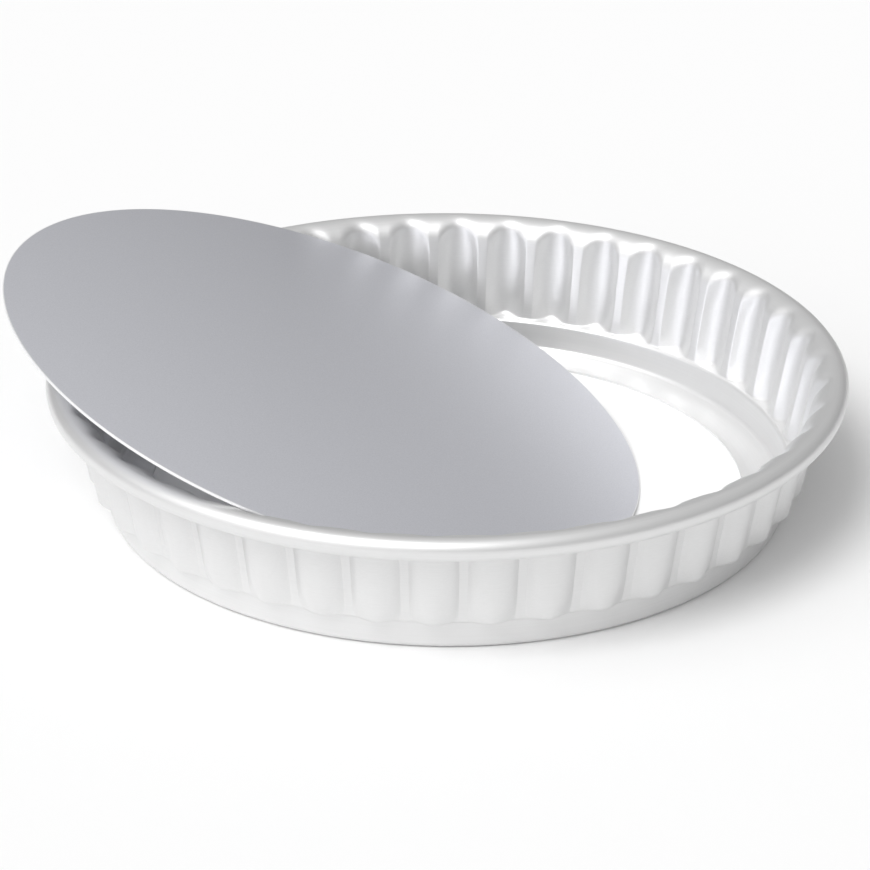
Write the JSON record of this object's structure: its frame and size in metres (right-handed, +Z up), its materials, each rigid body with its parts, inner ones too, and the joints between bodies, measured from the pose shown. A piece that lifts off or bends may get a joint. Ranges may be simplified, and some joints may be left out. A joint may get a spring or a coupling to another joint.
{
  "type": "loose-bottom cake pan",
  "caption": "Round cake pan: a fluted sheet-metal ring with a rolled rim and an inward ledge, and a flat loose bottom that lifts out, shown leaning in the ring.",
  "frame": {"origin": "middle of the object's footprint at the level of the table; the ring's axis stands 6.6 mm from it along +X, because the leaning disc reaches past the rim at -X", "axes": "+Z up, along the ring's axis; +X towards the low edge of the leaning disc, almost exactly; -Y towards the side that the picture shows"},
  "size_m": [0.293, 0.2798, 0.0812],
  "materials": {
    "ring_aluminium": "satin anodised, bright",
    "disc_aluminium": "matt anodised sheet with a bright cut edge"
  },
  "bodies": {
    "ring": {"fluted_ring": "ring_aluminium"},
    "bottom": {"loose_bottom": "disc_aluminium"}
  },
  "joints": [
    {"name": "lift_out", "type": "slide", "parent": "ring", "child": "bottom", "axis": [0, 0, 1], "range_m": [0, 0.08]}
  ]
}
